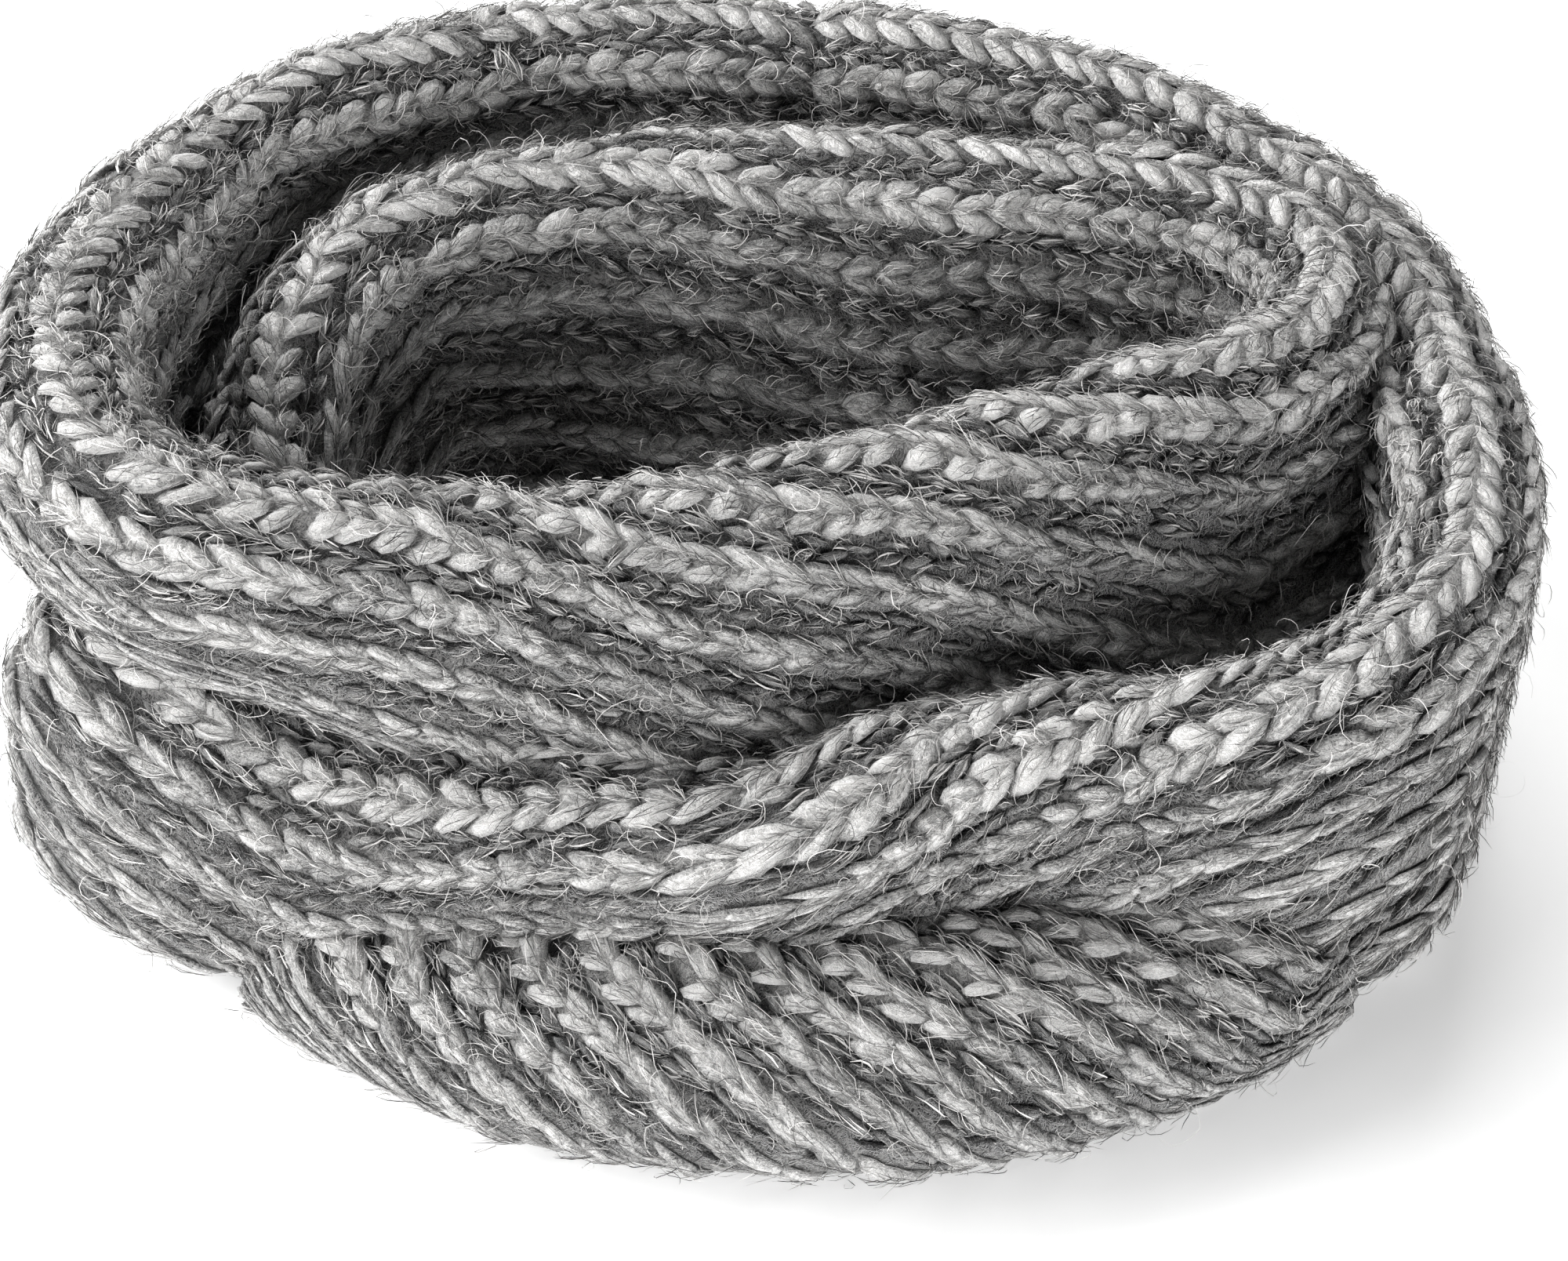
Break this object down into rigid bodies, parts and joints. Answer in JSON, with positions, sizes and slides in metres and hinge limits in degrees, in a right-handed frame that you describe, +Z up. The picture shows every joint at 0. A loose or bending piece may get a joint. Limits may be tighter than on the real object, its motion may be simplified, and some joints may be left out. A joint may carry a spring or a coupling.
{
  "type": "infinity scarf",
  "caption": "Chunky rib-knit infinity scarf in marled grey wool, folded along its length and wound double into a nest that stands by itself.",
  "frame": {"origin": "on the surface that the scarf stands on, under the middle of its outline", "axes": "+X to the scarf's right as it is seen from the front, +Y from the front, where the turns cross, to the joining seam at the back, +Z up"},
  "size_m": [0.2928, 0.2706, 0.1042],
  "materials": {
    "rib_knit": "brushed, hairy, matt"
  },
  "bodies": {
    "root": {"outer_right": "rib_knit", "outer_left": "rib_knit", "front_over": "rib_knit", "inner_loop": "rib_knit", "front_under": "rib_knit", "front_fold": "rib_knit"}
  },
  "joints": []
}
